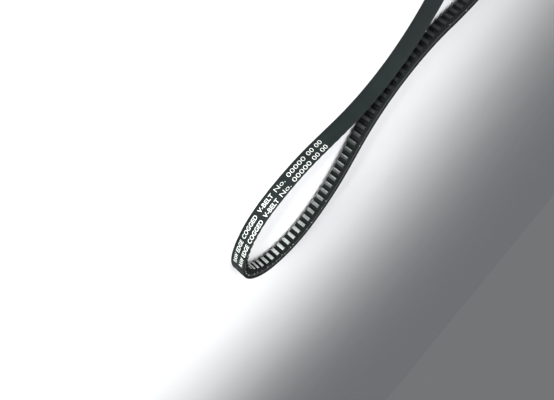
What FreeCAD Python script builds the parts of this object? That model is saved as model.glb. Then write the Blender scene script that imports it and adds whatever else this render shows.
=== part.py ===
# Raw-edge V-belt with moulded cogs, lying on its side edge.
#
# The endless belt is built around its datum line: a closed, flat curve of arcs and short
# straights that keeps the full datum length. Every layer of the belt is one section swept
# along that line, from the outer cover ply down to the cogged base. X runs along the loop,
# Z across the belt's width, and the belt rests on the square-cut edge of its cover at Z = 0.
import FreeCAD, Part

import math
import os
from dataclasses import dataclass

import Sketcher
from FreeCAD import Placement, Rotation, Vector

DIMENSIONS = (
    # alias, value, meaning (millimetres and degrees)
    ("datum_length", 1315.0, "length of the belt along its cords"),
    ("top_width", 17.0, "width across the cover"),
    ("flank_angle", 20.0, "slope of each raw-cut side"),
    ("outer_ply", 0.8, "outer cover fabric, square cut at its edges"),
    ("inner_ply", 0.6, "inner cover fabric"),
    ("top_rubber", 1.8, "rubber under the cover"),
    ("upper_gum", 0.9, "adhesion gum above the cord centres"),
    ("lower_gum", 0.9, "adhesion gum under the cord centres"),
    ("cord_diameter", 0.88, "twisted tension cord"),
    ("cord_gap", 0.18, "gum between neighbouring cord turns"),
    ("cord_edge", 0.2, "least gum left outside the last cord turn"),
    ("root_rubber", 0.65, "rubber between the gum and the valley floors"),
    ("facing", 0.35, "fabric moulded over the cogs"),
    ("cog_pitch", 9.53, "nominal cog spacing along the cords"),
    ("cog_height", 5.0, "crest to root"),
    ("cog_crest", 4.0, "width of a cog at its crest, corners sharp"),
    ("cog_flank_angle", 9.0, "slope of a cog's side"),
    ("cog_corner", 0.9, "rounding of the crest's corners"),
    ("root_rise", 2.0, "height of the rounded valley floor"),
    ("near_bend_radius", 51.0, "tight end of the small lobe"),
    ("near_bend_angle", 52.0, "half of that end"),
    ("shoulder_radius", 89.0, "small lobe, end to side"),
    ("shoulder_angle", 40.0, "arc of the shoulder"),
    ("near_side_radius", 194.0, "bowed side of the small lobe"),
    ("waist_run", 30.0, "straight part before the waist"),
    ("waist_gap", 13.4, "clear space between the facing cogs at the waist"),
    ("waist_radius", 184.0, "hollow curve of the waist"),
    ("waist_flare", 26.0, "angle at which the sides leave the waist"),
    ("far_side_angle", 44.0, "arc of the large lobe's side"),
)

SHEET = "Dimensions"
HALF_TURN = 180.0
QUARTER_TURN = 90.0


@dataclass
class Run:
    """One arc or straight of the datum line; curvature is positive where it turns left."""

    start: Vector
    heading: float
    length: float
    curvature: float

    def direction(self, along=0.0):
        angle = self.heading + self.curvature * along
        return Vector(math.cos(angle), math.sin(angle), 0.0)

    def point(self, along):
        if self.curvature == 0.0:
            return self.start + self.direction() * along
        turned = self.heading + self.curvature * along
        across = (math.cos(self.heading) - math.cos(turned)) / self.curvature
        forward = (math.sin(turned) - math.sin(self.heading)) / self.curvature
        return self.start + Vector(forward, across, 0.0)

    def edge(self):
        ends = self.point(0.0), self.point(self.length)
        if self.curvature == 0.0:
            return Part.LineSegment(*ends)
        return Part.Arc(ends[0], self.point(self.length / 2), ends[1])


def make_sheet(doc):
    """The driving dimensions, one named cell each."""
    sheet = doc.addObject("Spreadsheet::Sheet", SHEET)
    for row, (alias, value, meaning) in enumerate(DIMENSIONS, start=1):
        set_cell(sheet, row, alias, value, meaning)
    doc.recompute()
    return sheet


def add_derived(doc, sheet, alias, value, meaning):
    """A dimension that follows from the others, in the sheet's next free row."""
    row = len(sheet.getUsedCells()) // 2 + 1
    set_cell(sheet, row, alias, value, meaning)
    doc.recompute()


def set_cell(sheet, row, alias, value, meaning):
    sheet.set(f"A{row}", meaning)
    sheet.set(f"B{row}", repr(value))
    sheet.setAlias(f"B{row}", alias)


def side_end_angle(size, shoulder_end, shoulder_width):
    """Heading at the end of the small lobe's side that leaves the stated gap at the waist."""
    waist_width = size.waist_gap / 2 + size.belt_height - size.cord_depth
    turning = size.near_side_radius + size.waist_radius
    target = (
        waist_width
        - shoulder_width
        + size.waist_radius
        + size.near_side_radius * math.sin(math.radians(shoulder_end))
    )
    reach = math.hypot(turning, size.waist_run)
    return HALF_TURN - math.degrees(math.asin(target / reach) + math.atan2(size.waist_run, turning))


def arc_run(radius, angle):
    """Curvature and length of an arc; a hollow arc has a negative radius."""
    return 1 / radius, abs(radius) * math.radians(angle)


def half_loop(size):
    """Curvature and length of each run, from the near end to the far end of one side.

    Headings are measured from straight across the loop at its near end. The far lobe's two
    radii come from the two facts left over: the line ends on the axis of symmetry, and the
    whole belt has its datum length.
    """
    sine = lambda degrees: math.sin(math.radians(degrees))
    near_end = size.near_bend_angle
    shoulder_end = near_end + size.shoulder_angle
    shoulder_width = size.near_bend_radius * sine(near_end) + size.shoulder_radius * (
        sine(shoulder_end) - sine(near_end)
    )
    side_end = side_end_angle(size, shoulder_end, shoulder_width)
    flare_start = QUARTER_TURN - size.waist_flare
    far_side_end = flare_start + size.far_side_angle
    arcs = [
        (size.near_bend_radius, size.near_bend_angle),
        (size.shoulder_radius, size.shoulder_angle),
        (size.near_side_radius, side_end - shoulder_end),
    ]
    waist = (-size.waist_radius, side_end - flare_start)

    half_width = (
        shoulder_width
        + size.near_side_radius * (sine(side_end) - sine(shoulder_end))
        + size.waist_run * math.cos(math.radians(side_end))
        - size.waist_radius * (sine(flare_start) - sine(side_end))
    )
    used = size.waist_run + sum(abs(r) * math.radians(a) for r, a in arcs + [waist])
    left = size.datum_length / 2 - used
    side_gain = sine(far_side_end) - sine(flare_start)
    side_turn = math.radians(size.far_side_angle)
    end_gain = -sine(far_side_end)
    end_turn = math.radians(HALF_TURN - far_side_end)
    scale = side_gain * end_turn - end_gain * side_turn
    side_radius = (-half_width * end_turn - end_gain * left) / scale
    end_radius = (side_gain * left + half_width * side_turn) / scale

    near = [arc_run(*arc) for arc in arcs]
    far = [arc_run(side_radius, size.far_side_angle), arc_run(end_radius, HALF_TURN - far_side_end)]
    return near + [(0.0, size.waist_run), arc_run(*waist)] + far


def trace(half):
    """The whole datum line as runs, anticlockwise from the near end, centred on the origin."""
    runs = []
    start, heading = Vector(), -math.pi / 2
    for curvature, length in half + half[::-1]:
        run = Run(start, heading, length, curvature)
        runs.append(run)
        start = run.point(length)
        heading += curvature * length
    far_end = runs[len(half)].start
    for run in runs:
        run.start = run.start - far_end / 2
    return runs


def station(runs, distance):
    """Point and outward normal of the datum line at a distance from the near end."""
    distance %= sum(run.length for run in runs)
    for run in runs:
        if distance <= run.length:
            break
        distance -= run.length
    ahead = run.direction(distance)
    return run.point(distance), Vector(ahead.y, -ahead.x, 0.0)


def draw_loop(doc, runs):
    """The datum line as a sketch in the belt's middle plane, its radii bound to the sheet."""
    sketch = doc.addObject("Sketcher::SketchObject", "DatumLine")
    for run in runs:
        sketch.addGeometry(run.edge(), False)
    for index, run in enumerate(runs):
        following = (index + 1) % len(runs)
        joint = run.point(run.length)
        here, there = sketch_end(sketch, index, joint), sketch_end(sketch, following, joint)
        sketch.addConstraint(Sketcher.Constraint("Coincident", index, here, following, there))
    radii = {0: "near_bend_radius", 1: "shoulder_radius", 2: "near_side_radius", 4: "waist_radius"}
    for index, alias in radii.items():
        for twin in (index, len(runs) - 1 - index):
            radius = 1 / abs(runs[twin].curvature)
            bind(sketch, Sketcher.Constraint("Radius", twin, radius), alias_of(alias))
    sketch.setExpression("Placement.Base.z", f"{alias_of('top_width')} / 2")
    return sketch


def sketch_end(sketch, geometry, point):
    """Which end of a sketch element lies on the point: 1 for its start, 2 for its end."""
    place = Vector(point.x, point.y, 0.0)
    return min((1, 2), key=lambda end: (sketch.getPoint(geometry, end) - place).Length)


def alias_of(name):
    return f"{SHEET}.{name}"


def bind(sketch, constraint, expression):
    index = sketch.addConstraint(constraint)
    sketch.setExpression(f"Constraints[{index}]", expression)


def section_sketch(doc, name, height_expression):
    """A sketch across the belt at the far end of the loop: X outwards, Y across the belt."""
    sketch = doc.addObject("Sketcher::SketchObject", name)
    sketch.Placement = Placement(Vector(), Rotation(Vector(1, 0, 0), QUARTER_TURN))
    sketch.setExpression("Placement.Base.z", height_expression)
    return sketch


def place_point(sketch, geometry, end, across, along_x, along_y):
    """Bind a sketch point's two coordinates; across is +1 or -1, its side of the middle."""
    bind(sketch, Sketcher.Constraint("DistanceX", -1, 1, geometry, end, 1.0), along_x)
    pair = (-1, 1, geometry, end) if across > 0 else (geometry, end, -1, 1)
    bind(sketch, Sketcher.Constraint("DistanceY", *pair, 1.0), along_y)


def depth_sum(*aliases):
    return " + ".join(alias_of(alias) for alias in aliases)


def half_width_at(depth, square_cut):
    """Half the belt's width at a depth under the cover, as a sheet expression."""
    half = f"{alias_of('top_width')} / 2"
    if square_cut:
        return half
    slope = f"tan({alias_of('flank_angle')} * 1 deg)"
    return f"{half} - ({depth} - {alias_of('outer_ply')}) * {slope}"


def sweep(doc, name, section, loop):
    solid = doc.addObject("Part::Sweep", name)
    solid.Sections = [section]
    solid.Spine = (loop, [f"Edge{index + 1}" for index in range(loop.GeometryCount)])
    solid.Solid = True
    solid.Frenet = False
    return solid


def layer(doc, name, loop, top, bottom, square_cut=False):
    """One layer of the belt: a four-cornered section between two depths, swept round."""
    middle = f"{alias_of('top_width')} / 2"
    sketch = section_sketch(doc, f"{name}_section", middle)
    corners = [(top, 1), (bottom, 1), (bottom, -1), (top, -1)]
    rough = [Vector(5, 5, 0), Vector(1, 4, 0), Vector(1, -4, 0), Vector(5, -5, 0)]
    for index in range(4):
        sketch.addGeometry(Part.LineSegment(rough[index], rough[(index + 1) % 4]), False)
    for index in range(4):
        sketch.addConstraint(Sketcher.Constraint("Coincident", index, 2, (index + 1) % 4, 1))
    for index, (depth, side) in enumerate(corners):
        outwards = f"{alias_of('loop_end')} + {alias_of('cord_depth')} - ({depth})"
        place_point(sketch, index, 1, side, outwards, half_width_at(depth, square_cut))
    return sweep(doc, name, sketch, loop)


def cord(doc, name, loop, turn, turns):
    """One turn of the tension cord, its centre on the datum line's depth."""
    sketch = section_sketch(doc, f"{name}_section", "0")
    sketch.addGeometry(Part.Circle(Vector(1, 1, 0), Vector(0, 0, 1), 0.5), False)
    offset = turn - (turns - 1) / 2
    pitch = f"({alias_of('cord_diameter')} + {alias_of('cord_gap')})"
    height = f"{alias_of('top_width')} / 2 + {pitch} * {offset}"
    place_point(sketch, 0, 3, 1, alias_of("loop_end"), height)
    bind(sketch, Sketcher.Constraint("Diameter", 0, 1.0), alias_of("cord_diameter"))
    return sweep(doc, name, sketch, loop)


def cord_turns(size):
    """How many turns of cord fit between the raw-cut sides."""
    slope = math.tan(math.radians(size.flank_angle))
    half = size.top_width / 2 - (size.cord_depth - size.outer_ply) * slope
    margin = (size.cord_diameter / 2 + size.cord_edge) / math.cos(math.radians(size.flank_angle))
    return 1 + 2 * int((half - margin) / (size.cord_diameter + size.cord_gap))


def cog_outline(size, runs, inset):
    """The inside of the loop as a closed wire that follows every cog.

    inset moves the line from the belt's surface into its cogs by that distance.
    """
    total = sum(run.length for run in runs)
    count = round(total / size.cog_pitch)
    slope = math.radians(size.cog_flank_angle)
    crest_depth = size.belt_height - inset
    floor_depth = size.belt_height - size.cog_height - inset
    flank_end = size.belt_height - size.cog_height + size.root_rise
    crest_half = size.cog_crest / 2 + inset * math.tan(slope) - inset / math.cos(slope)
    corner = size.cog_corner - inset
    setback = corner * math.tan((math.pi / 2 - slope) / 2)
    flat = crest_half - setback
    middle = (math.pi / 2 + slope) / 2
    # one side of a cog, from its crest to the valley, as (distance along the belt, depth)
    side = [
        (flat, crest_depth),
        (flat + corner * math.cos(middle), crest_depth - corner * (1 - math.sin(middle))),
        (crest_half + setback * math.sin(slope), crest_depth - setback * math.cos(slope)),
        (crest_half + (crest_depth - flank_end) * math.tan(slope), flank_end),
    ]

    edges = []
    first_end = last_end = None
    for index in range(count):
        place, outwards = station(runs, (index + 0.5) * total / count)
        ahead = Vector(-outwards.y, outwards.x, 0.0)
        at = lambda along, depth: place + ahead * along + outwards * (size.cord_depth - depth)
        left = [at(-along, depth) for along, depth in side]
        right = [at(along, depth) for along, depth in side]
        if last_end is None:
            first_end = left[3]
        else:
            valley = index * total / count
            edges.append(valley_floor(size, runs, valley, floor_depth, last_end, left[3]))
        edges.append(Part.LineSegment(left[3], left[2]))
        edges.append(Part.Arc(left[2], left[1], left[0]))
        edges.append(Part.LineSegment(left[0], right[0]))
        edges.append(Part.Arc(right[0], right[1], right[2]))
        edges.append(Part.LineSegment(right[2], right[3]))
        last_end = right[3]
    edges.append(valley_floor(size, runs, 0.0, floor_depth, last_end, first_end))
    return Part.Wire([edge.toShape() for edge in edges])


def valley_floor(size, runs, distance, depth, start, end):
    """The rounded floor between two cogs."""
    place, outwards = station(runs, distance)
    return Part.Arc(start, place + outwards * (size.cord_depth - depth), end)


def prism(doc, name, shape):
    """An outline drawn at the belt's lower side and raised over its whole width."""
    outline = doc.addObject("Part::Feature", f"{name}_outline")
    outline.Shape = shape
    solid = doc.addObject("Part::Extrusion", name)
    solid.Base = outline
    solid.DirMode = "Custom"
    solid.Dir = Vector(0, 0, 1)
    solid.setExpression("LengthFwd", alias_of("top_width"))
    solid.Solid = True
    return solid


def boolean(doc, kind, name, base, tool):
    result = doc.addObject(f"Part::{kind}", name)
    result.Base = base
    result.Tool = tool
    return result


def build(doc):
    """Make every sub-part and return the finished objects, one per node."""
    size = make_sheet(doc)
    cord_depth = size.outer_ply + size.inner_ply + size.top_rubber + size.upper_gum
    belt_height = cord_depth + size.lower_gum + size.root_rubber + size.facing + size.cog_height
    add_derived(doc, size, "cord_depth", cord_depth, "cover to cord centres")
    add_derived(doc, size, "belt_height", belt_height, "cover to cog crest")
    half = half_loop(size)
    runs = trace(half)
    loop_end = runs[len(half)].start.x
    add_derived(doc, size, "loop_end", loop_end, "middle of the loop to its ends, at the cords")
    loop = draw_loop(doc, runs)

    under_outer = depth_sum("outer_ply")
    under_inner = depth_sum("outer_ply", "inner_ply")
    under_top = depth_sum("outer_ply", "inner_ply", "top_rubber")
    cord_plane = depth_sum("cord_depth")
    under_gum = depth_sum("cord_depth", "lower_gum")
    crest = depth_sum("belt_height")

    nodes = [
        layer(doc, "cover_outer_ply", loop, "0", under_outer, square_cut=True),
        layer(doc, "cover_inner_ply", loop, under_outer, under_inner),
        layer(doc, "top_rubber", loop, under_inner, under_top),
    ]
    turns = cord_turns(size)
    cords = [cord(doc, f"tension_cord_{turn + 1:02d}", loop, turn, turns) for turn in range(turns)]
    cord_set = doc.addObject("Part::Compound", "cord_set")
    cord_set.Links = cords

    upper = layer(doc, "upper_gum_blank", loop, under_top, cord_plane)
    lower = layer(doc, "lower_gum_blank", loop, cord_plane, under_gum)
    base = layer(doc, "cogged_base_blank", loop, under_gum, crest)
    nodes.append(boolean(doc, "Cut", "upper_adhesion_gum", upper, cord_set))
    nodes += cords
    nodes.append(boolean(doc, "Cut", "lower_adhesion_gum", lower, cord_set))

    surface = Part.Face(cog_outline(size, runs, 0.0))
    under_facing = Part.Face(cog_outline(size, runs, size.facing))
    inside = prism(doc, "inside_of_rubber", under_facing)
    skin = prism(doc, "facing_band", under_facing.cut(surface))
    nodes.append(boolean(doc, "Cut", "cogged_compression_rubber", base, inside))
    nodes.append(boolean(doc, "Common", "cog_facing_fabric", base, skin))
    return nodes


def check(doc, nodes):
    """Stop on any failed object, or on a node that isn't one valid solid."""
    for item in doc.Objects:
        if {"Invalid", "Error"} & set(item.State):
            raise RuntimeError(f"{item.Label} failed: {item.State}")
    for node in nodes:
        shape = node.Shape
        if shape.isNull() or not shape.isValid() or len(shape.Solids) != 1:
            raise RuntimeError(f"{node.Label} isn't one valid solid")


def main():
    doc = FreeCAD.newDocument("v_belt")
    nodes = build(doc)
    doc.recompute()
    check(doc, nodes)
    os.makedirs("parts", exist_ok=True)
    for node in nodes:
        node.Shape.exportStep(f"parts/{node.Label}.step")
        print(f"{node.Label}: {node.Shape.Volume:.0f} mm3")


main()
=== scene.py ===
"""Looks of a raw-edge V-belt with moulded cogs that lies on its side in a loose loop.

Every visible layer is modelled straight, as it is before it is bent: X runs along the belt,
Y stands for height over the cover (so the cogs lie below zero) and Z runs across its width.
The finished straight piece is then bent round the belt's datum line, the closed curve that
its cords follow, and its two ends are joined.
"""

import logging
import math
import random
from bisect import bisect_right
from dataclasses import dataclass, field
from enum import Enum

import bmesh
import bpy
from mathutils import Euler, Matrix, Vector


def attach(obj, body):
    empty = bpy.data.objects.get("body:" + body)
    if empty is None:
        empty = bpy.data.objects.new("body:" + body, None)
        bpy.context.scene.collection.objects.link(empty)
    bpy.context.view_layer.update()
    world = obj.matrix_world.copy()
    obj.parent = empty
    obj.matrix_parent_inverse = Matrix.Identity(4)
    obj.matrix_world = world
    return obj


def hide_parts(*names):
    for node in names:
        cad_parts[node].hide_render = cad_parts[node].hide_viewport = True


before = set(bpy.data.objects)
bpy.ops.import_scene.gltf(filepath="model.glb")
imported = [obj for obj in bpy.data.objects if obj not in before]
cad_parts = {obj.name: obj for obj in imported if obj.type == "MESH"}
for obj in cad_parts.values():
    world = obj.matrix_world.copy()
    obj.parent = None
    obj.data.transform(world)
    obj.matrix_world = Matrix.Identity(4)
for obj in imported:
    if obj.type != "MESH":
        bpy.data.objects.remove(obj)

LOG = logging.getLogger("v_belt")
BODY = "root"
UV_NAME = "belt"
WELD = 1e-6
SHARP_ANGLE = math.radians(38)
PLAIN_SCALE = (1.0, 1.0)
SIDE_NORMAL = 0.6
WALL_NORMAL = 0.7
CREST_NORMAL = -0.5
BOLD = 0.00009
THIN = -0.00006


def verts_of(geometry: list[object]) -> list[bmesh.types.BMVert]:
    """Only the vertices of a mixed list that an operator returned."""
    return [item for item in geometry if isinstance(item, bmesh.types.BMVert)]


def add_object(name: str, data: bpy.types.ID | None) -> bpy.types.Object:
    """Make an object from its data and put it in the scene."""
    made = bpy.data.objects.new(name, data)
    bpy.context.scene.collection.objects.link(made)
    return made


class Surface(Enum):
    """Which finish a face of a layer takes, by its place in the material list."""

    FACE = 0
    CUT_SIDE = 1
    CREST = 2


@dataclass(frozen=True)
class Section:
    """The belt's section, in metres and radians; depths run from the cover to the cogs."""

    width: float = 0.017
    outer_ply: float = 0.0008
    inner_ply: float = 0.0006
    top_rubber: float = 0.0018
    upper_gum: float = 0.0009
    lower_gum: float = 0.0009
    root_rubber: float = 0.00065
    facing: float = 0.00035
    cog_height: float = 0.005
    flank_angle: float = math.radians(20)

    @property
    def cord_depth(self) -> float:
        """Depth of the cords' centres."""
        return self.outer_ply + self.inner_ply + self.top_rubber + self.upper_gum

    @property
    def gum_end(self) -> float:
        """Depth at which the cogged rubber starts."""
        return self.cord_depth + self.lower_gum

    @property
    def height(self) -> float:
        """Depth of the cogs' crests."""
        return self.gum_end + self.root_rubber + self.facing + self.cog_height

    def half_width(self, depth: float) -> float:
        """Half the belt's width at a depth.

        Args:
            depth: Depth under the cover.

        Returns:
            Half the width there; the outer ply is square cut, the rest slopes.
        """
        sloping = max(depth - self.outer_ply, 0.0)
        return self.width / 2 - sloping * math.tan(self.flank_angle)


@dataclass(frozen=True)
class CogShape:
    """One moulded cog and the valley beside it."""

    nominal_pitch: float = 0.00953
    crest: float = 0.0040
    flank_angle: float = math.radians(9)
    corner: float = 0.0009
    root_rise: float = 0.002


@dataclass(frozen=True)
class LoopShape:
    """Arcs of the datum line, from the small lobe's end to the waist and the large lobe."""

    datum_length: float = 1.315
    near_bend_radius: float = 0.051
    near_bend_angle: float = math.radians(52)
    shoulder_radius: float = 0.089
    shoulder_angle: float = math.radians(40)
    near_side_radius: float = 0.194
    waist_run: float = 0.030
    waist_gap: float = 0.0134
    waist_radius: float = 0.184
    waist_flare: float = math.radians(26)
    far_side_angle: float = math.radians(44)


@dataclass
class Run:
    """One arc or straight of the datum line; curvature is positive where it turns left."""

    start: Vector
    heading: float
    length: float
    curvature: float

    def direction(self, along: float = 0.0) -> Vector:
        """Unit vector of travel at a distance into the run."""
        angle = self.heading + self.curvature * along
        return Vector((math.cos(angle), math.sin(angle), 0.0))

    def point(self, along: float) -> Vector:
        """Point of the line at a distance into the run."""
        if self.curvature == 0.0:
            return self.start + self.direction() * along
        turned = self.heading + self.curvature * along
        across = (math.cos(self.heading) - math.cos(turned)) / self.curvature
        forward = (math.sin(turned) - math.sin(self.heading)) / self.curvature
        return self.start + Vector((forward, across, 0.0))


@dataclass
class DatumLine:
    """The closed curve of the cords, anticlockwise from the small lobe's end."""

    shape: LoopShape
    section: Section
    runs: list[Run] = field(default_factory=list)
    ends: list[float] = field(default_factory=list)

    def __post_init__(self) -> None:
        """Trace the runs and centre them on the origin."""
        half = self._half()
        start, heading = Vector(), -math.pi / 2
        for curvature, length in half + half[::-1]:
            run = Run(start, heading, length, curvature)
            self.runs.append(run)
            start = run.point(length)
            heading += curvature * length
            self.ends.append(length + (self.ends[-1] if self.ends else 0.0))
        middle = self.runs[len(half)].start / 2
        for run in self.runs:
            run.start = run.start - middle

    @property
    def length(self) -> float:
        """Length of the whole line."""
        return self.ends[-1]

    def _side_end(self, shoulder_end: float, shoulder_width: float) -> float:
        """Heading at the end of the small lobe's side.

        Args:
            shoulder_end: Heading where the side starts.
            shoulder_width: Half width of the loop there.

        Returns:
            The heading that leaves the stated gap at the waist.
        """
        shape = self.shape
        waist = shape.waist_gap / 2 + self.section.height - self.section.cord_depth
        turning = shape.near_side_radius + shape.waist_radius
        target = waist - shoulder_width + shape.waist_radius
        target += shape.near_side_radius * math.sin(shoulder_end)
        reach = math.hypot(turning, shape.waist_run)
        return math.pi - math.asin(target / reach) - math.atan2(shape.waist_run, turning)

    def _half(self) -> list[tuple[float, float]]:
        """Curvature and length of each run of one side.

        Returns:
            The runs from the small lobe's end to the large lobe's; the large lobe's two radii
            follow from the datum length and from ending on the loop's axis.
        """
        shape = self.shape
        near_end = shape.near_bend_angle
        shoulder_end = near_end + shape.shoulder_angle
        width = shape.near_bend_radius * math.sin(near_end)
        width += shape.shoulder_radius * (math.sin(shoulder_end) - math.sin(near_end))
        side_end = self._side_end(shoulder_end, width)
        flare = math.pi / 2 - shape.waist_flare
        far_end = flare + shape.far_side_angle
        width += shape.near_side_radius * (math.sin(side_end) - math.sin(shoulder_end))
        width += shape.waist_run * math.cos(side_end)
        width -= shape.waist_radius * (math.sin(flare) - math.sin(side_end))
        near = [
            (shape.near_bend_radius, near_end),
            (shape.shoulder_radius, shape.shoulder_angle),
            (shape.near_side_radius, side_end - shoulder_end),
        ]
        runs = [(1 / radius, radius * angle) for radius, angle in near]
        runs.append((0.0, shape.waist_run))
        runs.append((-1 / shape.waist_radius, shape.waist_radius * (side_end - flare)))
        left = shape.datum_length / 2 - sum(length for _, length in runs)
        gain = math.sin(far_end) - math.sin(flare)
        fall = -math.sin(far_end)
        turn = math.pi - far_end
        scale = gain * turn - fall * shape.far_side_angle
        side_radius = (-width * turn - fall * left) / scale
        end_radius = (gain * left + width * shape.far_side_angle) / scale
        runs.append((1 / side_radius, side_radius * shape.far_side_angle))
        runs.append((1 / end_radius, end_radius * turn))
        return runs

    def station(self, distance: float) -> tuple[Vector, Vector, Vector]:
        """Place on the line at a distance from the small lobe's end.

        Args:
            distance: Distance along the line; it wraps round.

        Returns:
            The point, the direction of travel and the outward normal.
        """
        distance %= self.length
        index = min(bisect_right(self.ends, distance), len(self.runs) - 1)
        run = self.runs[index]
        into = distance - (self.ends[index] - run.length)
        ahead = run.direction(into)
        return run.point(into), ahead, Vector((ahead.y, -ahead.x, 0.0))


@dataclass
class BeltForm:
    """Bends straight pieces round the datum line and joins their ends."""

    section: Section
    cog: CogShape
    line: DatumLine

    @property
    def cogs(self) -> int:
        """Number of cogs round the belt."""
        return round(self.line.length / self.cog.nominal_pitch)

    @property
    def pitch(self) -> float:
        """Cog spacing along the cords."""
        return self.line.length / self.cogs

    @property
    def floor_depth(self) -> float:
        """Depth of the valley floors at the belt's surface."""
        return self.section.height - self.section.cog_height

    def place(self, straight: Vector) -> Vector:
        """Where a point of the straight belt goes.

        A cog keeps its own shape as the belt bends; the valley floors between take the bend.

        Args:
            straight: Point of the straight belt.

        Returns:
            Its place on the bent belt.
        """
        depth = -straight.y
        rise = self.section.cord_depth - depth
        point, _, outwards = self.line.station(straight.x)
        bent = point + outwards * rise
        stiff = min(max((depth - self.floor_depth) / self.cog.root_rise, 0.0), 1.0)
        if stiff > 0.0:
            middle = (min(int(straight.x / self.pitch), self.cogs - 1) + 0.5) * self.pitch
            point, ahead, outwards = self.line.station(middle)
            rigid = point + ahead * (straight.x - middle) + outwards * rise
            bent = bent.lerp(rigid, stiff)
        bent.z = straight.z
        return bent

    def map_faces(self, bm: bmesh.types.BMesh, crests: bool = False) -> None:
        """Lay the belt's own coordinates on a straight piece and tell its surfaces apart.

        Args:
            bm: The straight piece.
            crests: Whether faces on the cogs' crests take their own finish.
        """
        layer = bm.loops.layers.uv.new(UV_NAME)
        bm.normal_update()
        crest_depth = self.section.height - self.cog.corner
        for face in bm.faces:
            side = abs(face.normal.z) > SIDE_NORMAL
            steep = abs(face.normal.x) > WALL_NORMAL
            wall = math.copysign(1.0, face.normal.x) if steep else 0.0
            centre = face.calc_center_median()
            face.material_index = Surface.FACE.value
            if side:
                face.material_index = Surface.CUT_SIDE.value
            elif crests and -centre.y > crest_depth and face.normal.y < CREST_NORMAL:
                face.material_index = Surface.CREST.value
            for loop in face.loops:
                place = loop.vert.co
                across = -place.y if side else place.z
                loop[layer].uv = (place.x + wall * place.y, across)

    def finish(
        self, bm: bmesh.types.BMesh, name: str, finishes: list["Finish"], closed: bool = True
    ) -> bpy.types.Object:
        """Bend a straight piece, join it, and make it an object.

        Args:
            bm: The straight piece, its coordinates laid; it is freed.
            name: Name of the object.
            finishes: Its finishes, in the order of Surface.
            closed: Whether the piece goes right round the loop.

        Returns:
            The object, riding on the belt.
        """
        for vert in bm.verts:
            vert.co = self.place(vert.co)
        if closed:
            bmesh.ops.remove_doubles(bm, verts=bm.verts[:], dist=WELD)
        bmesh.ops.recalc_face_normals(bm, faces=bm.faces[:])
        for face in bm.faces:
            face.smooth = True
            if len(finishes) == 1:
                face.material_index = Surface.FACE.value
        mesh = bpy.data.meshes.new(name)
        bm.to_mesh(mesh)
        bm.free()
        mesh.set_sharp_from_angle(angle=SHARP_ANGLE)
        for finish in finishes:
            mesh.materials.append(finish.material())
        piece = add_object(name, mesh)
        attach(piece, BODY)
        LOG.info("%s: %d faces", name, len(mesh.polygons))
        return piece


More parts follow.
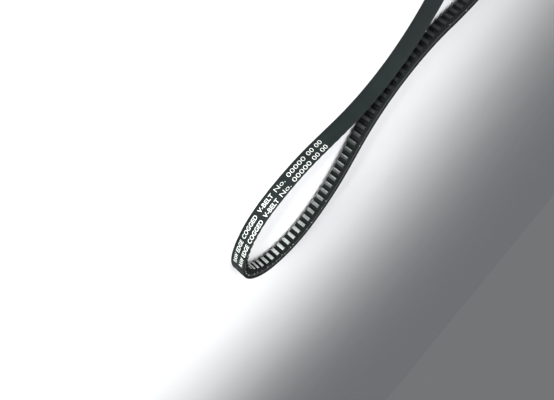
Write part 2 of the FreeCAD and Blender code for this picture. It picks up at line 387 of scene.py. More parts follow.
class Graph:
    """A small hand for wiring one material's nodes."""

    def __init__(self, name: str) -> None:
        """Start a material with only its shader and output."""
        self.material = bpy.data.materials.new(name)
        self.material.use_nodes = True
        self.tree = self.material.node_tree
        self.shader = self.tree.nodes["Principled BSDF"]

    def node(self, kind: str, **settings: object) -> bpy.types.Node:
        """Add a node.

        Args:
            kind: Blender's node type.
            **settings: Attributes to set on it.

        Returns:
            The node.
        """
        made = self.tree.nodes.new(kind)
        for key, value in settings.items():
            setattr(made, key, value)
        return made

    def link(self, source: bpy.types.NodeSocket, target: bpy.types.NodeSocket) -> None:
        """Join two sockets."""
        self.tree.links.new(source, target)

    def belt_uv(
        self, scale: tuple[float, float] = PLAIN_SCALE, turn: float = 0.0
    ) -> bpy.types.NodeSocket:
        """The piece's own coordinates, scaled and turned.

        Args:
            scale: Scale along and across the belt.
            turn: Turn of the pattern, in radians.

        Returns:
            The vector socket.
        """
        source = self.node("ShaderNodeUVMap", uv_map=UV_NAME)
        mapping = self.node("ShaderNodeMapping")
        mapping.inputs["Scale"].default_value = (*scale, 1.0)
        mapping.inputs["Rotation"].default_value = (0.0, 0.0, turn)
        self.link(source.outputs["UV"], mapping.inputs["Vector"])
        return mapping.outputs["Vector"]

    def object_space(self) -> bpy.types.NodeSocket:
        """The object's own coordinates, in metres."""
        return self.node("ShaderNodeTexCoord").outputs["Object"]

    def blend(
        self, first: bpy.types.NodeSocket, second: bpy.types.NodeSocket, share: float
    ) -> bpy.types.NodeSocket:
        """Add two patterns, the first with this share and the second with the rest."""
        rest = self.math("MULTIPLY", second, 1.0 - share)
        return self.math("ADD", self.math("MULTIPLY", first, share), rest)

    def noise(
        self, vector: bpy.types.NodeSocket, scale: float, detail: float = 3.0
    ) -> bpy.types.NodeSocket:
        """A noise pattern's value."""
        made = self.node("ShaderNodeTexNoise")
        made.inputs["Scale"].default_value = scale
        made.inputs["Detail"].default_value = detail
        self.link(vector, made.inputs["Vector"])
        return made.outputs["Fac"]

    def threads(self, pitch: float, turn: float) -> bpy.types.NodeSocket:
        """Parallel threads of a cloth.

        Args:
            pitch: Spacing of the threads, in metres.
            turn: Their direction.

        Returns:
            A value that is high on each thread.
        """
        wave = self.node("ShaderNodeTexWave", wave_type="BANDS", bands_direction="X")
        wave.inputs["Scale"].default_value = math.pi / (10 * pitch)
        wave.inputs["Distortion"].default_value = 0.0
        self.link(self.belt_uv(turn=turn), wave.inputs["Vector"])
        return wave.outputs["Fac"]

    def math(
        self, operation: str, first: bpy.types.NodeSocket, second: bpy.types.NodeSocket | float
    ) -> bpy.types.NodeSocket:
        """One arithmetic step.

        Args:
            operation: Blender's name for it.
            first: First value.
            second: Second value, a socket or a number.

        Returns:
            The result.
        """
        made = self.node("ShaderNodeMath", operation=operation)
        self.link(first, made.inputs[0])
        if isinstance(second, (int, float)):
            made.inputs[1].default_value = second
        else:
            self.link(second, made.inputs[1])
        return made.outputs["Value"]

    def ramp(
        self, value: bpy.types.NodeSocket, stops: list[tuple[float, tuple[float, float, float]]]
    ) -> bpy.types.NodeSocket:
        """Colours along a value.

        Args:
            value: What drives the ramp.
            stops: Positions and colours.

        Returns:
            The colour.
        """
        made = self.node("ShaderNodeValToRGB")
        elements = made.color_ramp.elements
        while len(elements) < len(stops):
            elements.new(0.5)
        for element, (position, colour) in zip(elements, stops):
            element.position = position
            element.color = (*colour, 1.0)
        self.link(value, made.inputs["Fac"])
        return made.outputs["Color"]

    def mix(
        self,
        amount: bpy.types.NodeSocket,
        first: bpy.types.NodeSocket,
        second: bpy.types.NodeSocket,
    ) -> bpy.types.NodeSocket:
        """Blend two colours by an amount."""
        made = self.node("ShaderNodeMix", data_type="RGBA")
        self.link(amount, made.inputs[0])
        self.link(first, made.inputs[6])
        self.link(second, made.inputs[7])
        return made.outputs[2]

    def bump(self, height: bpy.types.NodeSocket, distance: float, strength: float = 1.0) -> None:
        """Raise the surface by a height pattern."""
        made = self.node("ShaderNodeBump")
        made.inputs["Distance"].default_value = distance
        made.inputs["Strength"].default_value = strength
        self.link(height, made.inputs["Height"])
        self.link(made.outputs["Normal"], self.shader.inputs["Normal"])

    def spread(self, value: bpy.types.NodeSocket, low: float, high: float, socket: str) -> None:
        """Drive one of the shader's numbers between two limits."""
        made = self.node("ShaderNodeMapRange")
        made.inputs["To Min"].default_value = low
        made.inputs["To Max"].default_value = high
        self.link(value, made.inputs["Value"])
        self.link(made.outputs["Result"], self.shader.inputs[socket])


@dataclass(frozen=True)
class Finish:
    """A finish that is made once and shared by every piece that wears it."""

    name: str

    def material(self) -> bpy.types.Material:
        """The finish's material, made on first use."""
        return bpy.data.materials.get(self.name) or self.make(Graph(self.name))

    def make(self, graph: Graph) -> bpy.types.Material:
        """Wire the material; each kind of finish has its own way."""
        raise NotImplementedError


@dataclass(frozen=True)
class Cloth(Finish):
    """Rubbered fabric with two sets of threads laid on the bias."""

    dark: tuple[float, float, float] = (0.0045, 0.0075, 0.0075)
    light: tuple[float, float, float] = (0.012, 0.018, 0.0175)
    pitch: float = 0.00062
    bias: float = math.radians(58)
    drift_scale: float = 55.0
    fuzz_scale: float = 2600.0
    roughness: tuple[float, float] = (0.5, 0.72)
    relief: float = 0.00009
    specular: float = 0.12

    def make(self, graph: Graph) -> bpy.types.Material:
        """Wire threads, colour drift and relief.

        Args:
            graph: The empty material.

        Returns:
            The finished material.
        """
        warp = graph.threads(self.pitch, self.bias)
        weft = graph.threads(self.pitch, -self.bias)
        weave = graph.math("MULTIPLY", warp, weft)
        drift = graph.noise(graph.belt_uv(), self.drift_scale, 5.0)
        fuzz = graph.noise(graph.belt_uv(), self.fuzz_scale, 2.0)
        shade = graph.blend(weave, drift, 0.45)
        colour = graph.ramp(shade, [(0.22, self.dark), (0.75, self.light)])
        graph.link(colour, graph.shader.inputs["Base Color"])
        graph.spread(drift, *self.roughness, "Roughness")
        height = graph.math("ADD", weave, graph.math("MULTIPLY", fuzz, 0.4))
        graph.bump(height, self.relief)
        graph.shader.inputs["Specular IOR Level"].default_value = self.specular
        return graph.material


@dataclass(frozen=True)
class RubAndHighlightCloth(Cloth):
    """Cloth on the cogs' crests in a pale grey that is partly a rubbed finish and partly painted
    highlight; the painted highlight is strongest near the small lobe's end and fades along the belt
    into painted shade.
    """

    # Two pale greys for the crests, partly a rubbed finish and partly painted highlight.
    dull_rub_and_highlight: tuple[float, float, float] = (0.46, 0.50, 0.48)
    pale_rub_and_highlight: tuple[float, float, float] = (0.54, 0.58, 0.56)
    belt_length: float = LoopShape.datum_length
    cogs: int = round(LoopShape.datum_length / CogShape.nominal_pitch)
    reach: float = 0.26
    patch_scale: float = 420.0
    scuff_scale: tuple[float, float] = (260.0, 2600.0)
    corner: tuple[float, float] = (0.62, 0.70)
    corner_fade: float = 0.04
    bare: float = 0.35
    shine: float = 0.4
    # Painted highlight along one corner of each cog, by share of the reach from the small lobe's end.
    corner_highlight_falloff: tuple[tuple[float, float], ...] = (
        (0.40, 0.0),
        (0.50, 0.48),
        (0.72, 0.52),
        (0.80, 0.30),
        (0.92, 0.0),
    )
    # Painted highlight along the belt, by share of the reach from the small lobe's end; it fades to
    # nothing, leaving the crests in painted shade.
    highlight_falloff: tuple[tuple[float, float], ...] = (
        (0.0, 1.0),
        (0.07, 0.95),
        (0.13, 0.72),
        (0.20, 0.86),
        (0.30, 0.70),
        (0.34, 0.62),
        (0.40, 0.36),
        (0.47, 0.27),
        (0.60, 0.15),
        (0.78, 0.05),
        (0.92, 0.0),
    )

    def make(self, graph: Graph) -> bpy.types.Material:
        """Wire the cloth, then lay over it the pale crest colour, partly a rubbed finish and partly
        painted highlight.

        Args:
            graph: The empty material.

        Returns:
            The finished material.
        """
        super().make(graph)
        cloth = graph.shader.inputs["Base Color"].links[0].from_socket
        place = graph.node("ShaderNodeSeparateXYZ")
        graph.link(graph.belt_uv(), place.inputs["Vector"])
        # Painted highlight falling off with distance from the small lobe's end.
        from_end = graph.math("PINGPONG", place.outputs["X"], self.belt_length / 2)
        share = graph.math("DIVIDE", from_end, self.reach)
        highlight_along_belt = graph.ramp(share, self._greys(self.highlight_falloff))
        # Painted highlight line on one corner of each cog.
        turns = graph.math("MULTIPLY", place.outputs["X"], self.cogs / self.belt_length)
        phase = graph.math("FRACT", turns, 0.0)
        low, high = self.corner
        fade_in, fade_out = low - self.corner_fade, high + self.corner_fade
        band = ((fade_in, 0.0), (low, 1.0), (high, 1.0), (fade_out, 0.0))
        on_corner = graph.ramp(phase, self._greys(band))
        corner_highlight = graph.ramp(share, self._greys(self.corner_highlight_falloff))
        corner = graph.math("MULTIPLY", on_corner, corner_highlight)
        # Noise breaks the pale colour and its painted highlight into uneven patches and streaks.
        patches = graph.noise(graph.belt_uv(), self.patch_scale, 4.0)
        scuff_and_highlight_streaks = graph.noise(graph.belt_uv(self.scuff_scale), 1.0, 3.0)
        mottle = graph.blend(patches, scuff_and_highlight_streaks, 0.6)
        uneven = graph.ramp(mottle, self._greys(((0.34, self.bare), (0.56, 1.0))))
        # How much pale colour shows: the stronger of the two painted highlights, broken up by the
        # noise.
        amount = graph.math("MULTIPLY", graph.math("MAXIMUM", highlight_along_belt, corner), uneven)
        # The pale crest colour itself, partly a rubbed finish and partly painted highlight.
        pale_rub_and_highlight = graph.ramp(scuff_and_highlight_streaks, [(0.3, self.dull_rub_and_highlight), (0.7, self.pale_rub_and_highlight)])
        graph.link(graph.mix(amount, cloth, pale_rub_and_highlight), graph.shader.inputs["Base Color"])
        graph.shader.inputs["Specular IOR Level"].default_value = self.shine
        return graph.material

    @staticmethod
    def _greys(
        stops: tuple[tuple[float, float], ...],
    ) -> list[tuple[float, tuple[float, float, float]]]:
        """Turn positions and amounts into positions and greys."""
        return [(position, (amount, amount, amount)) for position, amount in stops]


@dataclass(frozen=True)
class GroundRubber(Finish):
    """Rubber cut and ground to a slope, with the ends of short fibres showing in it."""

    dark: tuple[float, float, float] = (0.004, 0.006, 0.0058)
    light: tuple[float, float, float] = (0.013, 0.017, 0.0165)
    fibre: tuple[float, float, float] = (0.30, 0.32, 0.30)
    fibre_spacing: float = 0.0009
    fibre_size: float = 0.16
    line_scale: tuple[float, float] = (90.0, 4200.0)
    patch_scale: float = 160.0
    relief: float = 0.00006

    def make(self, graph: Graph) -> bpy.types.Material:
        """Wire grinding lines, fibre ends and relief.

        Args:
            graph: The empty material.

        Returns:
            The finished material.
        """
        lines = graph.noise(graph.belt_uv(self.line_scale), 1.0, 4.0)
        patches = graph.noise(graph.belt_uv(), self.patch_scale, 3.0)
        shade = graph.blend(lines, patches, 0.6)
        ground = graph.ramp(shade, [(0.3, self.dark), (0.75, self.light)])
        cells = graph.node("ShaderNodeTexVoronoi", feature="F1")
        cells.inputs["Scale"].default_value = 1.0 / self.fibre_spacing
        graph.link(graph.belt_uv((1.0, 1.6)), cells.inputs["Vector"])
        ends = graph.math("LESS_THAN", cells.outputs["Distance"], self.fibre_size)
        rare = graph.math("GREATER_THAN", graph.noise(graph.belt_uv(), 420.0, 1.0), 0.55)
        shown = graph.math("MULTIPLY", ends, rare)
        fibre = graph.ramp(patches, [(0.3, self.light), (0.7, self.fibre)])
        graph.link(graph.mix(shown, ground, fibre), graph.shader.inputs["Base Color"])
        graph.spread(lines, 0.55, 0.85, "Roughness")
        graph.bump(graph.math("ADD", lines, shown), self.relief)
        graph.shader.inputs["Specular IOR Level"].default_value = 0.1
        return graph.material


@dataclass(frozen=True)
class Compound(Finish):
    """Plain rubber compound, mottled and matt, on a piece with no coordinates of its own."""

    dark: tuple[float, float, float] = (0.010, 0.012, 0.011)
    light: tuple[float, float, float] = (0.034, 0.038, 0.036)
    mottle_scale: float = 900.0
    relief: float = 0.00005

    def make(self, graph: Graph) -> bpy.types.Material:
        """Wire the mottle.

        Args:
            graph: The empty material.

        Returns:
            The finished material.
        """
        mottle = graph.noise(graph.object_space(), self.mottle_scale, 4.0)
        colour = graph.ramp(mottle, [(0.3, self.dark), (0.7, self.light)])
        graph.link(colour, graph.shader.inputs["Base Color"])
        graph.spread(mottle, 0.55, 0.8, "Roughness")
        graph.bump(mottle, self.relief)
        return graph.material


@dataclass(frozen=True)
class CordYarn(Finish):
    """Twisted cord: pale yarn with darker rubber between its plies."""

    rubber: tuple[float, float, float] = (0.05, 0.05, 0.045)
    yarn: tuple[float, float, float] = (0.62, 0.60, 0.53)
    ply_scale: float = 190.0
    relief: float = 0.00008

    def make(self, graph: Graph) -> bpy.types.Material:
        """Wire the plies.

        Args:
            graph: The empty material.

        Returns:
            The finished material.
        """
        wave = graph.node("ShaderNodeTexWave", wave_type="BANDS", bands_direction="DIAGONAL")
        wave.inputs["Scale"].default_value = self.ply_scale
        wave.inputs["Distortion"].default_value = 1.5
        graph.link(graph.object_space(), wave.inputs["Vector"])
        colour = graph.ramp(wave.outputs["Fac"], [(0.15, self.rubber), (0.5, self.yarn)])
        graph.link(colour, graph.shader.inputs["Base Color"])
        graph.spread(wave.outputs["Fac"], 0.8, 0.6, "Roughness")
        graph.bump(wave.outputs["Fac"], self.relief)
        return graph.material


@dataclass(frozen=True)
class Ink(Finish):
    """White marking ink, thin enough for the cloth to show through here and there."""

    bare: tuple[float, float, float] = (0.12, 0.14, 0.13)
    full: tuple[float, float, float] = (0.60, 0.63, 0.60)
    cover_scale: float = 1500.0
    relief: float = 0.00003

    def make(self, graph: Graph) -> bpy.types.Material:
        """Wire the ink's uneven cover.

        Args:
            graph: The empty material.

        Returns:
            The finished material.
        """
        cover = graph.noise(graph.belt_uv(), self.cover_scale, 3.0)
        colour = graph.ramp(cover, [(0.25, self.bare), (0.42, self.full)])
        graph.link(colour, graph.shader.inputs["Base Color"])
        graph.spread(cover, 0.6, 0.45, "Roughness")
        graph.bump(cover, self.relief)
        return graph.material


COVER = Cloth("cover cloth")
COVER_EDGE = GroundRubber(
    "cut cover edge",
    dark=(0.012, 0.011, 0.010),
    light=(0.045, 0.038, 0.036),
    fibre_spacing=0.0007,
    fibre_size=0.2,
)
CUT_SIDE = GroundRubber("ground side")
FACING = Cloth(
    "cog facing cloth",
    dark=(0.004, 0.006, 0.006),
    light=(0.014, 0.018, 0.0175),
    pitch=0.00048,
)
# Crest cloth: the facing cloth with a pale grey that is partly a rubbed finish and partly painted
# highlight.
CREST = RubAndHighlightCloth(
    "rubbed crest cloth", dark=FACING.dark, light=FACING.light, pitch=FACING.pitch
)
GUM = Compound("adhesion gum")
YARN = CordYarn("cord yarn")
FRAYED = CordYarn("frayed cord", rubber=(0.30, 0.31, 0.28), yarn=(0.78, 0.78, 0.72))
INK = Ink("marking ink")


@dataclass
class FlatLayer:
    """A layer of even thickness, cut from a straight strip."""

    form: BeltForm
    node: str
    name: str
    top: float
    bottom: float
    face: Finish
    side: Finish
    rounding: float = 0.0
    steps: int = 720

    def build(self) -> bpy.types.Object:
        """Model the strip, bend it round, and let it stand for its node.

        Returns:
            The layer's piece.
        """
        bm = bmesh.new()
        bmesh.ops.create_cube(bm, size=1.0)
        for vert in bm.verts:
            depth = self.top if vert.co.y > 0 else self.bottom
            half = self.form.section.half_width(depth) * math.copysign(1.0, vert.co.z)
            along = self.form.line.length if vert.co.x > 0 else 0.0
            vert.co = Vector((along, -depth, self.form.section.width / 2 + half))
        bmesh.ops.delete(bm, geom=self._ends(bm), context="FACES_ONLY")
        if self.rounding:
            edges = [edge for edge in self._long(bm) if edge.verts[0].co.y > -self.top - WELD]
            bmesh.ops.bevel(
                bm,
                geom=edges,
                offset=self.rounding,
                segments=3,
                affect="EDGES",
                profile=0.5,
                material=-1,
            )
        cuts = self.steps - 1
        bmesh.ops.subdivide_edges(bm, edges=self._long(bm), cuts=cuts, use_grid_fill=True)
        self.form.map_faces(bm)
        piece = self.form.finish(bm, self.name, [self.face, self.side])
        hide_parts(self.node)
        return piece

    def _ends(self, bm: bmesh.types.BMesh) -> list[bmesh.types.BMFace]:
        """The two faces that close the strip's ends."""
        bm.normal_update()
        return [face for face in bm.faces if abs(face.normal.x) > 0.9]

    def _long(self, bm: bmesh.types.BMesh) -> list[bmesh.types.BMEdge]:
        """The edges that run the whole length of the strip."""
        return [edge for edge in bm.edges if edge.calc_length() > self.form.line.length / 2]


@dataclass
class CogOutline:
    """The line of one pitch of cogs, from valley to valley, drawn in the XY plane."""

    form: BeltForm
    inset: float = 0.0
    corner_steps: int = 4
    floor_steps: int = 5

    def draw(self) -> bmesh.types.BMesh:
        """Draw the outline as a chain of edges.

        Returns:
            A mesh with the chain; the cog stands in the middle of its pitch.
        """
        form, cog, inset = self.form, self.form.cog, self.inset
        height, half_pitch = form.section.height, form.pitch / 2
        crest_depth = height - inset
        floor = form.floor_depth - inset
        flank_end = form.floor_depth + cog.root_rise
        lean = math.tan(cog.flank_angle)
        sharp = cog.crest / 2 + inset * lean - inset / math.cos(cog.flank_angle)
        foot = sharp + (crest_depth - flank_end) * lean
        span, rise = half_pitch - foot, flank_end - floor
        floor_radius = (span * span + rise * rise) / (2 * rise)
        corner = cog.corner - inset
        turn = math.pi / 2 - cog.flank_angle
        setback = corner * math.tan(turn / 2)

        bm = bmesh.new()
        tip = bm.verts.new((0.0, -floor, 0.0))
        fall = -2 * math.atan2(rise, span)
        tip = self._arc(bm, tip, (0.0, -floor - floor_radius), fall, self.floor_steps)
        slope = Vector((math.sin(cog.flank_angle), -math.cos(cog.flank_angle), 0.0))
        shoulder = Vector((half_pitch - sharp, -crest_depth, 0.0)) - slope * setback
        tip = self._line(bm, tip, shoulder)
        centre = (half_pitch - sharp + setback, -crest_depth + corner)
        tip = self._arc(bm, tip, centre, turn, self.corner_steps)
        self._line(bm, tip, Vector((half_pitch, -crest_depth, 0.0)))
        copy = bmesh.ops.duplicate(bm, geom=bm.verts[:] + bm.edges[:])
        for vert in verts_of(copy["geom"]):
            vert.co.x = form.pitch - vert.co.x
        bmesh.ops.remove_doubles(bm, verts=bm.verts[:], dist=WELD)
        return bm

    def _arc(
        self,
        bm: bmesh.types.BMesh,
        tip: bmesh.types.BMVert,
        centre: tuple[float, float],
        angle: float,
        steps: int,
    ) -> bmesh.types.BMVert:
        """Go on from the tip along an arc and return the new tip."""
        made = bmesh.ops.spin(
            bm, geom=[tip], cent=(*centre, 0.0), axis=(0, 0, 1), angle=angle, steps=steps
        )
        return verts_of(made["geom_last"])[0]

    def _line(
        self, bm: bmesh.types.BMesh, tip: bmesh.types.BMVert, target: Vector
    ) -> bmesh.types.BMVert:
        """Go on from the tip to a point and return the new tip."""
        made = bmesh.ops.extrude_vert_indiv(bm, verts=[tip])
        made["verts"][0].co = target
        return made["verts"][0]


@dataclass
class CoggedBase:
    """The cogged rubber and the cloth moulded over it."""

    form: BeltForm
    across_steps: int = 6

    def build(self) -> list[bpy.types.Object]:
        """Model both pieces.

        Returns:
            The rubber and its facing.
        """
        return [self._rubber(), self._facing()]

    def _repeat(self, bm: bmesh.types.BMesh) -> None:
        """Lay one pitch end to end until the belt's whole length is covered."""
        unit = bm.verts[:] + bm.edges[:] + bm.faces[:]
        for index in range(1, self.form.cogs):
            copy = bmesh.ops.duplicate(bm, geom=unit)
            along = (index * self.form.pitch, 0.0, 0.0)
            bmesh.ops.translate(bm, verts=verts_of(copy["geom"]), vec=along)
        bmesh.ops.remove_doubles(bm, verts=bm.verts[:], dist=WELD)

    def _slope_sides(self, bm: bmesh.types.BMesh) -> None:
        """Narrow a block of full width to the belt's sloping sides."""
        middle = self.form.section.width / 2
        for vert in bm.verts:
            share = (vert.co.z - middle) / middle
            vert.co.z = middle + share * self.form.section.half_width(-vert.co.y)

    def _open_ends(self, bm: bmesh.types.BMesh, length: float) -> None:
        """Take away the faces that close the two ends of a strip of this length."""
        caps = [
            face
            for face in bm.faces
            if any(all(abs(vert.co.x - end) < WELD for vert in face.verts) for end in (0.0, length))
        ]
        bmesh.ops.delete(bm, geom=caps, context="FACES_ONLY")

    def _rubber(self) -> bpy.types.Object:
        """The fibre-filled rubber: a cogged wall raised to the gum and carried across."""
        section = self.form.section
        bm = CogOutline(self.form, section.facing).draw()
        made = bmesh.ops.extrude_edge_only(bm, edges=bm.edges[:])
        for vert in verts_of(made["geom"]):
            vert.co.y = -section.gum_end
        made = bmesh.ops.extrude_face_region(bm, geom=bm.faces[:], use_keep_orig=True)
        across = (0.0, 0.0, section.width)
        bmesh.ops.translate(bm, verts=verts_of(made["geom"]), vec=across)
        self._open_ends(bm, self.form.pitch)
        self._repeat(bm)
        self._slope_sides(bm)
        self.form.map_faces(bm)
        piece = self.form.finish(bm, "cogged_rubber", [CUT_SIDE, CUT_SIDE])
        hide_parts("cogged_compression_rubber")
        return piece

    def _facing(self) -> bpy.types.Object:
        """The cloth over the cogs, its edges cut to the belt's slope."""
        section = self.form.section
        bm = CogOutline(self.form).draw()
        hem = bm.edges[:]
        step = (0.0, 0.0, section.width / self.across_steps)
        for _ in range(self.across_steps):
            made = bmesh.ops.extrude_edge_only(bm, edges=hem)
            hem = [item for item in made["geom"] if isinstance(item, bmesh.types.BMEdge)]
            bmesh.ops.translate(bm, verts=verts_of(made["geom"]), vec=step)
        self._repeat(bm)
        self._slope_sides(bm)
        bmesh.ops.recalc_face_normals(bm, faces=bm.faces[:])
        if sum(face.normal.y for face in bm.faces) > 0:
            bmesh.ops.reverse_faces(bm, faces=bm.faces[:])
        bm.normal_update()
        bmesh.ops.solidify(bm, geom=bm.faces[:], thickness=section.facing)
        self._open_ends(bm, self.form.line.length)
        self.form.map_faces(bm, crests=True)
        piece = self.form.finish(bm, "cog_facing", [FACING, COVER_EDGE, CREST])
        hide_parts("cog_facing_fabric")
        return piece


@dataclass(frozen=True)
class Word:
    """One printed word: where it starts and ends along the belt, from the small lobe's end."""

    text: str
    start: float
    end: float
    weight: float


@dataclass
class PrintRow:
    """A row of plain white marking on the cover."""

    form: BeltForm
    name: str
    baseline: float
    cap_height: float = 0.0046
    cap_share: float = 0.7
    thickness: float = 0.00005
    slice_step: float = 0.0008
    words: tuple[Word, ...] = (
        Word("RAW", 0.0365, 0.0490, BOLD),
        Word("EDGE", 0.0515, 0.0660, BOLD),
        Word("COGGED", 0.0690, 0.0950, BOLD),
        Word("V-BELT", 0.0990, 0.1194, BOLD),
        Word("No.", 0.1236, 0.1367, THIN),
        Word("00000", 0.1414, 0.1656, THIN),
        Word("00 00", 0.1691, 0.1883, THIN),
    )

    def build(self) -> bpy.types.Object:
        """Set the words, lay them on the cover and bend them with it.

        Returns:
            The row's piece.
        """
        bm = bmesh.new()
        for word in self.words:
            self._set(bm, word)
        cut = self.form.line.length - max(word.end for word in self.words)
        last = self.form.line.length - min(word.start for word in self.words)
        while cut < last:
            geometry = bm.verts[:] + bm.edges[:] + bm.faces[:]
            bmesh.ops.bisect_plane(bm, geom=geometry, plane_co=(cut, 0, 0), plane_no=(1, 0, 0))
            cut += self.slice_step
        self.form.map_faces(bm)
        piece = self.form.finish(bm, self.name, [INK], closed=False)
        return piece

    def _set(self, bm: bmesh.types.BMesh, word: Word) -> None:
        """Add one word's flat letters to the row.

        Args:
            bm: The row so far.
            word: The word to add.
        """
        curve = bpy.data.curves.new(word.text, "FONT")
        curve.body = word.text
        curve.size = self.cap_height / self.cap_share
        curve.offset = word.weight
        curve.extrude = self.thickness / 2
        curve.resolution_u = 4
        text = add_object(word.text, curve)
        graph = bpy.context.evaluated_depsgraph_get()
        mesh = bpy.data.meshes.new_from_object(text.evaluated_get(graph))
        bpy.data.objects.remove(text)
        bpy.data.curves.remove(curve)
        low = min(vert.co.x for vert in mesh.vertices)
        high = max(vert.co.x for vert in mesh.vertices)
        bottom = min(vert.co.y for vert in mesh.vertices)
        top = max(vert.co.y for vert in mesh.vertices)
        stretch = (word.end - word.start) / (high - low)
        tall = self.cap_height / (top - bottom)
        first = self.form.line.length - word.start
        for vert in mesh.vertices:
            along = first - (vert.co.x - low) * stretch
            across = self.baseline - (vert.co.y - bottom) * tall
            vert.co = (along, vert.co.z + self.thickness / 2, across)
        bm.from_mesh(mesh)
        bpy.data.meshes.remove(mesh)


@dataclass
class FrayedEnds:
    """Pale ends of cut cord that stand out of the ground sides, most of them on the small lobe."""

    form: BeltForm
    spacing: float = 0.0048
    worn_reach: float = 0.075
    often: float = 0.75
    seldom: float = 0.06
    depths: tuple[float, float] = (-0.0006, 0.0022)
    proud: float = 0.2
    radius: float = 0.00046
    seed: int = 17

    def build(self) -> bpy.types.Object:
        """Scatter the ends along both sides of the straight belt and bend them with it.

        Returns:
            The piece with all the ends.
        """
        chance = random.Random(self.seed)
        section, length = self.form.section, self.form.line.length
        bm = bmesh.new()
        for index in range(int(length / self.spacing)):
            along = (index + chance.uniform(0.2, 0.8)) * self.spacing
            near = min(along, length - along) < self.worn_reach
            for side in (-1.0, 1.0):
                if chance.random() > (self.often if near else self.seldom):
                    continue
                depth = section.cord_depth + chance.uniform(*self.depths)
                out = section.half_width(depth) + self.radius * self.proud
                place = Vector((along, -depth, section.width / 2 + side * out))
                self._end(bm, chance, place)
        self.form.map_faces(bm)
        piece = self.form.finish(bm, "frayed_cord_ends", [FRAYED], closed=False)
        return piece

    def _end(self, bm: bmesh.types.BMesh, chance: random.Random, place: Vector) -> None:
        """Add one end, a small lens that lies along the side.

        Args:
            bm: The ends so far.
            chance: Source of its size and lean.
            place: Where it lies on the straight belt.
        """
        lean = Euler((0.0, 0.0, chance.uniform(-0.9, 0.9))).to_matrix().to_4x4()
        long, wide = chance.uniform(1.0, 2.2), chance.uniform(0.7, 1.2)
        stretch = Matrix.Diagonal((long, wide, 0.5, 1.0))
        lie = Matrix.Translation(place) @ lean @ stretch
        bmesh.ops.create_icosphere(bm, subdivisions=1, radius=self.radius, matrix=lie)


@dataclass
class HiddenLayers:
    """The cords and the gum around them, which keep their CAD shapes."""

    def dress(self) -> None:
        """Give each of these nodes its finish."""
        for name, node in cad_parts.items():
            if name.startswith("tension_cord"):
                self._wear(node, YARN)
            elif name.endswith("adhesion_gum"):
                self._wear(node, GUM)

    @staticmethod
    def _wear(node: bpy.types.Object, finish: Finish) -> None:
        """Put a finish on a node."""
        node.data.materials.clear()
        node.data.materials.append(finish.material())
        LOG.info("%s: %s", node.name, finish.name)


@dataclass(frozen=True)
class Lamp:
    """One soft rectangular light; it faces the near lobe unless it hangs straight down."""

    name: str
    place: tuple[float, float, float]
    sides: tuple[float, float]
    power: float
    spread: float = math.pi
    straight_down: bool = False


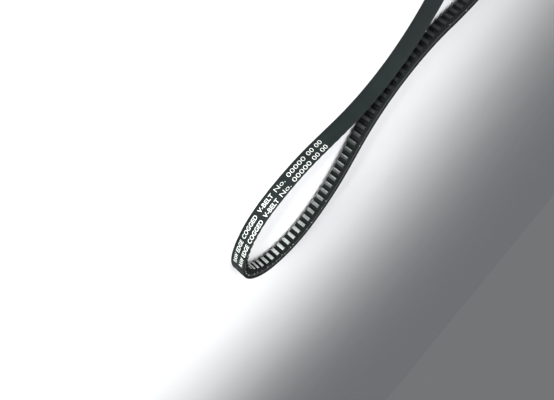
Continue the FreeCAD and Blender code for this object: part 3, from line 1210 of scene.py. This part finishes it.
@dataclass
class Studio:
    """Pale floor, soft lights and the camera."""

    floor_size: float = 60.0
    floor_dark: tuple[float, float, float] = (0.89, 0.90, 0.91)
    floor_light: tuple[float, float, float] = (0.92, 0.93, 0.94)
    lamps: tuple[Lamp, ...] = (
        Lamp("overhead", (-0.12, 0.12, 0.50), (1.3, 0.30), 4.4, straight_down=True),
        Lamp("low_front", (-0.33, 0.95, 0.185), (0.6, 0.16), 1.75, spread=math.radians(50)),
    )
    camera_place: tuple[float, float, float] = (-0.14056, 0.53750, 0.20061)
    aim: tuple[float, float, float] = (-0.20480, 0.05118, 0.0085)
    roll: float = math.radians(129.245)
    lens: float = 35.71
    sky: tuple[float, float, float] = (0.86, 0.89, 0.92)
    sky_strength: float = 0.20

    def build(self) -> None:
        """Set the floor, the lights and the camera."""
        self._floor()
        self._sky()
        for lamp in self.lamps:
            self._hang(lamp)
        self._camera()
        bpy.context.scene.view_settings.view_transform = "Standard"

    def _floor(self) -> None:
        """A large pale sheet that the belt lies on."""
        bm = bmesh.new()
        bmesh.ops.create_grid(bm, x_segments=2, y_segments=2, size=self.floor_size / 2)
        mesh = bpy.data.meshes.new("floor")
        bm.to_mesh(mesh)
        bm.free()
        graph = Graph("pale floor")
        grain = graph.noise(graph.object_space(), 6.0, 2.0)
        tone = graph.ramp(grain, [(0.3, self.floor_dark), (0.7, self.floor_light)])
        graph.link(tone, graph.shader.inputs["Base Color"])
        graph.shader.inputs["Roughness"].default_value = 0.9
        graph.shader.inputs["Specular IOR Level"].default_value = 0.1
        mesh.materials.append(graph.material)
        add_object("floor", mesh)

    def _sky(self) -> None:
        """Even light from all round."""
        world = bpy.data.worlds.new("studio")
        world.use_nodes = True
        background = world.node_tree.nodes["Background"]
        background.inputs["Color"].default_value = (*self.sky, 1.0)
        background.inputs["Strength"].default_value = self.sky_strength
        bpy.context.scene.world = world

    def _hang(self, lamp: Lamp) -> None:
        """Hang one light.

        Args:
            lamp: The light.
        """
        data = bpy.data.lights.new(lamp.name, "AREA")
        data.shape = "RECTANGLE"
        data.size, data.size_y = lamp.sides
        data.energy = lamp.power
        data.spread = lamp.spread
        holder = add_object(lamp.name, data)
        holder.location = lamp.place
        if not lamp.straight_down:
            towards = Vector(self.aim) - Vector(lamp.place)
            holder.rotation_euler = towards.to_track_quat("-Z", "Y").to_euler()

    def _camera(self) -> None:
        """Place the camera before the small lobe and roll it so that the belt rises to the right."""
        data = bpy.data.cameras.new("camera")
        data.lens = self.lens
        data.sensor_width = 36.0
        camera = add_object("camera", data)
        towards = Vector(self.aim) - Vector(self.camera_place)
        level = towards.to_track_quat("-Z", "Y").to_matrix().to_4x4()
        turn = Matrix.Rotation(self.roll, 4, "Z")
        camera.matrix_world = Matrix.Translation(self.camera_place) @ level @ turn
        bpy.context.scene.camera = camera


def main() -> None:
    """Build the belt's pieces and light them."""
    logging.basicConfig(level=logging.INFO)
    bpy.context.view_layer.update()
    section = Section()
    form = BeltForm(section, CogShape(), DatumLine(LoopShape(), section))
    under_outer = section.outer_ply
    under_inner = under_outer + section.inner_ply
    under_top = under_inner + section.top_rubber
    layers = (
        FlatLayer(form, "cover_outer_ply", "outer_ply", 0.0, under_outer, COVER, COVER_EDGE, 0.00025),
        FlatLayer(form, "cover_inner_ply", "inner_ply", under_outer, under_inner, COVER, COVER_EDGE),
        FlatLayer(
            form, "top_rubber", "rubber_under_cover", under_inner, under_top, CUT_SIDE, CUT_SIDE
        ),
    )
    for layer in layers:
        layer.build()
    CoggedBase(form).build()
    PrintRow(form, "print_upper_row", baseline=0.0079).build()
    PrintRow(form, "print_lower_row", baseline=0.0156).build()
    FrayedEnds(form).build()
    HiddenLayers().dress()
    Studio().build()


if __name__ == "__main__":
    main()
